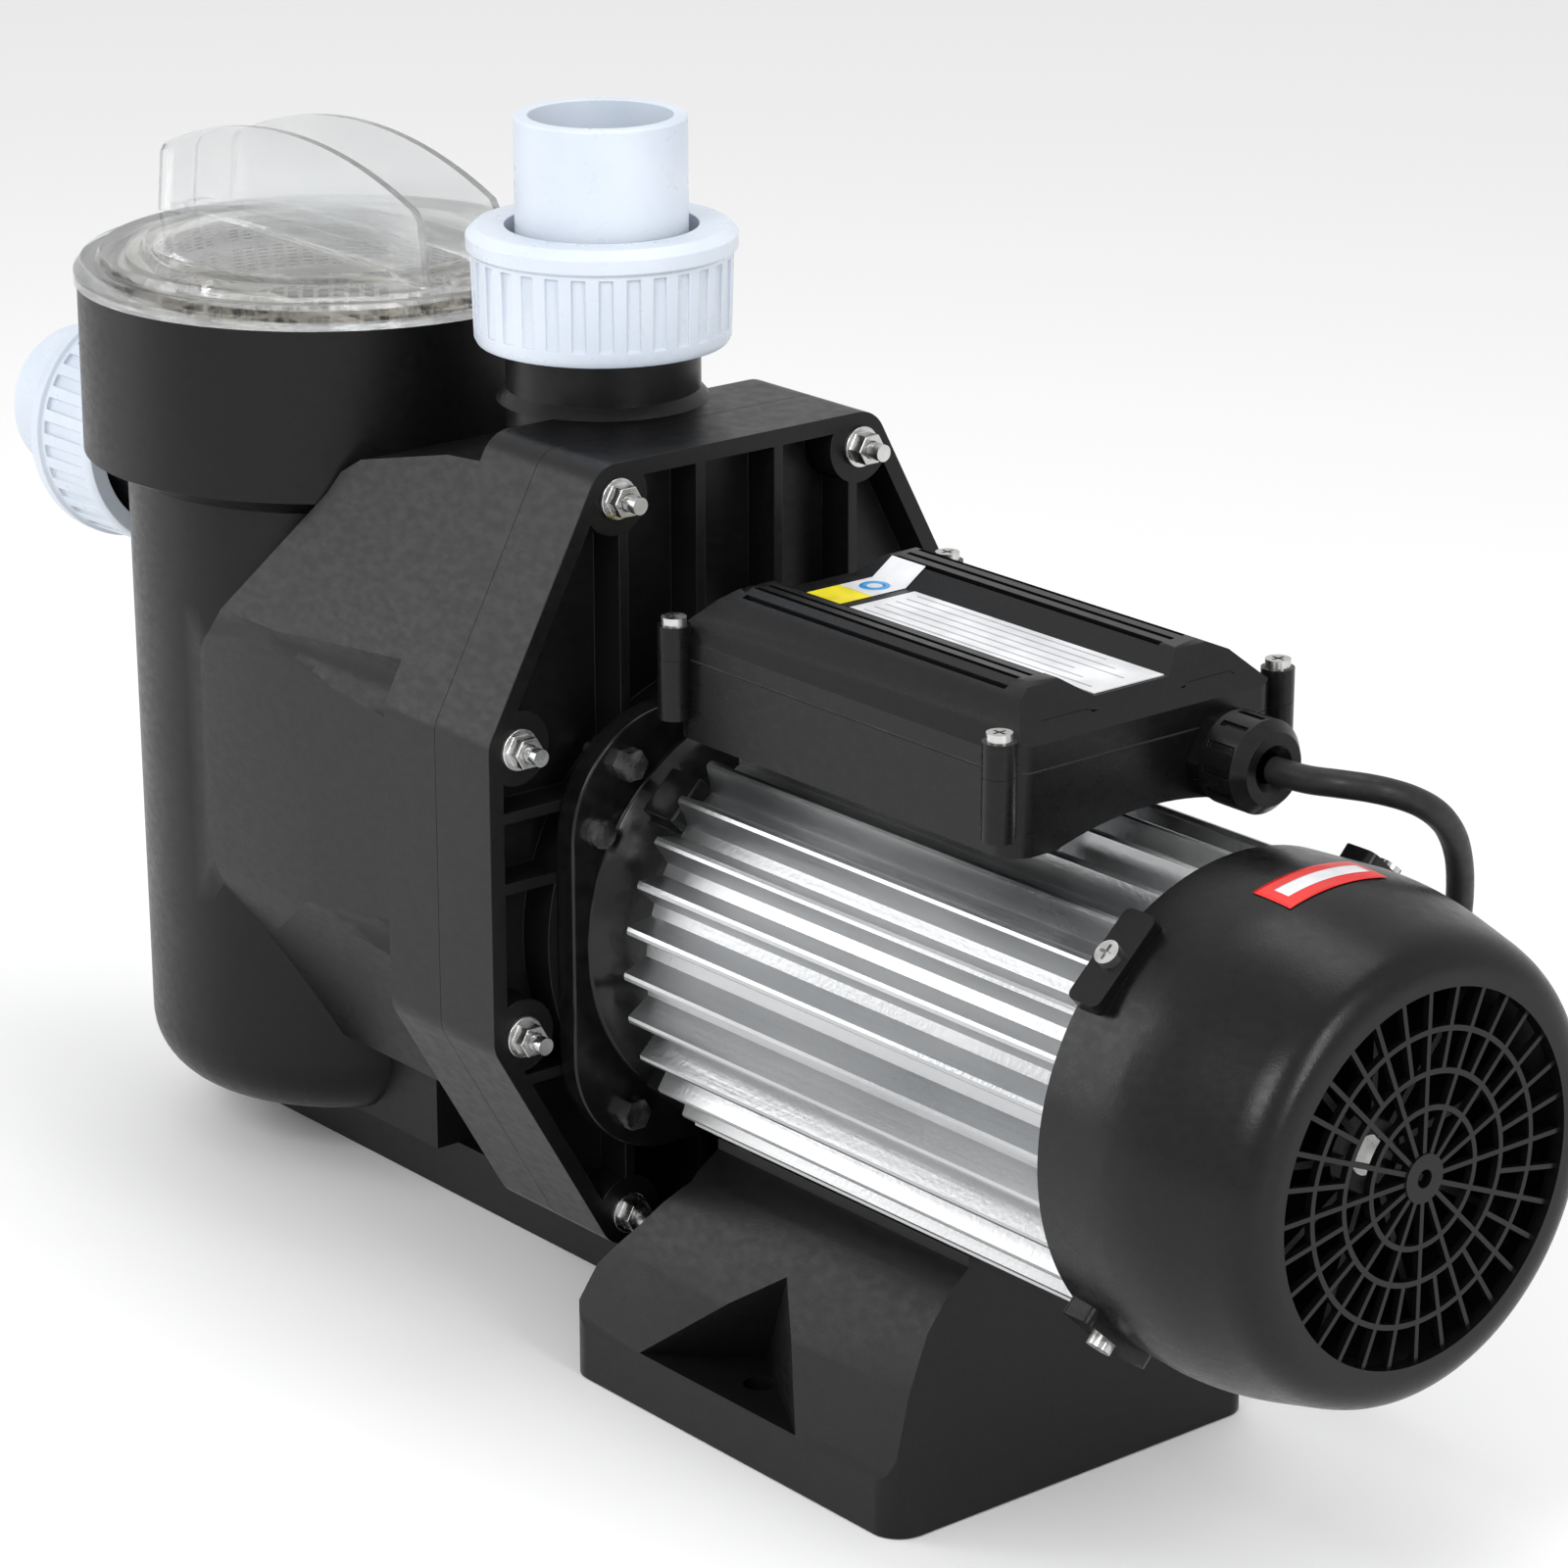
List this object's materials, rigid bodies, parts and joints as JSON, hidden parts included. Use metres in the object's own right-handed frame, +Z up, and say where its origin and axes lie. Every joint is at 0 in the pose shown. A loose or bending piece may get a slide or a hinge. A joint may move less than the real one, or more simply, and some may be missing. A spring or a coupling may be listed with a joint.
{
  "type": "pool pump",
  "caption": "Horizontal pool pump with strainer pot, clear screw-down lid, pipe unions, finned fan-cooled motor, terminal box and mains cord.",
  "frame": {"origin": "on the floor plane, midway between the two bolt holes of the foot", "axes": "+X along the motor shaft towards the fan cover, +Z up along the outlet, +Y towards the cord gland side"},
  "size_m": [0.7476, 0.3553, 0.418],
  "materials": {
    "body_plastic": "satin moulded",
    "steel": "bright zinc",
    "rubber": "matt",
    "ceramic": "lapped",
    "impeller_plastic": "glass-filled",
    "adapter_paint": "satin black",
    "laminated_steel": "laminated",
    "copper": "enamelled wire",
    "aluminium": "bare extruded",
    "cover_plastic": "satin moulded",
    "box_plastic": "satin moulded",
    "label": "printed film, blank",
    "capacitor_shell": "smooth",
    "cord_rubber": "matt",
    "brass": "bright",
    "clear_plastic": "clear moulded",
    "basket_plastic": "cream moulded",
    "white_pvc": "smooth white"
  },
  "bodies": {
    "pump": {"pump_body": "body_plastic", "seal_plate": "body_plastic", "base_foot": "body_plastic", "flange_bolts": "steel", "flange_nuts": "steel", "adapter_bolts": "steel", "earth_screw": "steel", "fan_cover_screws": "steel", "terminal_screws": "steel", "front_bearing": "steel", "rear_bearing": "steel", "flange_oring": "rubber", "terminal_gasket": "rubber", "seal_seat": "ceramic", "diffuser": "impeller_plastic", "adapter_flange": "adapter_paint", "rear_shield": "adapter_paint", "stator_core": "laminated_steel", "stator_windings": "copper", "motor_housing": "aluminium", "fan_cover": "cover_plastic", "terminal_box": "box_plastic", "terminal_lid": "box_plastic", "terminal_block": "box_plastic", "gland_body": "box_plastic", "gland_nut": "box_plastic", "rating_plate": "label", "run_capacitor": "capacitor_shell", "power_cord": "cord_rubber", "cord_coil": "cord_rubber", "cord_tie": "cord_rubber", "plug_body": "cord_rubber", "plug_pins": "brass"},
    "rotor": {"motor_shaft": "steel", "rotor_core": "laminated_steel", "impeller": "impeller_plastic", "impeller_screw": "steel", "seal_head": "rubber", "cooling_fan": "cover_plastic"},
    "lid_ring": {"lid_seal": "rubber"},
    "lid": {"clear_lid": "clear_plastic"},
    "basket": {"strainer_basket": "basket_plastic", "basket_floor": "basket_plastic", "basket_handle": "basket_plastic"},
    "outlet_socket": {"outlet_tail": "white_pvc", "outlet_oring": "rubber"},
    "outlet_ring": {"outlet_nut": "white_pvc"},
    "inlet_socket": {"inlet_tail": "white_pvc", "inlet_oring": "rubber"},
    "inlet_ring": {"inlet_nut": "white_pvc"},
    "drain": {"drain_plug": "body_plastic"}
  },
  "joints": [
    {"name": "rotor_spin", "type": "hinge", "parent": "pump", "child": "rotor", "pos_m": [0, 0, 0.155], "axis": [1, 0, 0], "continuous": true},
    {"name": "lid_lift", "type": "slide", "parent": "pump", "child": "lid_ring", "axis": [0, 0, 1], "range_m": [0, 0.32]},
    {"name": "lid_turn", "type": "hinge", "parent": "lid_ring", "child": "lid", "pos_m": [-0.3285, 0, 0.34], "axis": [0, 0, 1], "range_deg": [0, 90]},
    {"name": "basket_lift", "type": "slide", "parent": "pump", "child": "basket", "axis": [0, 0, 1], "range_m": [0, 0.16]},
    {"name": "outlet_pull", "type": "slide", "parent": "pump", "child": "outlet_socket", "axis": [0, 0, 1], "range_m": [0, 0.03]},
    {"name": "outlet_nut_turn", "type": "hinge", "parent": "outlet_socket", "child": "outlet_ring", "pos_m": [-0.1625, 0, 0.36], "axis": [0, 0, 1], "continuous": true},
    {"name": "inlet_pull", "type": "slide", "parent": "pump", "child": "inlet_socket", "axis": [-1, 0, 0], "range_m": [0, 0.03]},
    {"name": "inlet_nut_turn", "type": "hinge", "parent": "inlet_socket", "child": "inlet_ring", "pos_m": [-0.45, 0, 0.2505], "axis": [1, 0, 0], "continuous": true},
    {"name": "drain_plug_turn", "type": "hinge", "parent": "pump", "child": "drain", "pos_m": [-0.3285, 0.08, 0.044], "axis": [0, 1, 0], "continuous": true}
  ],
  "couplings": [
    {"joint": "basket_lift", "follows": "lid_lift", "ratio": 0.5}
  ]
}
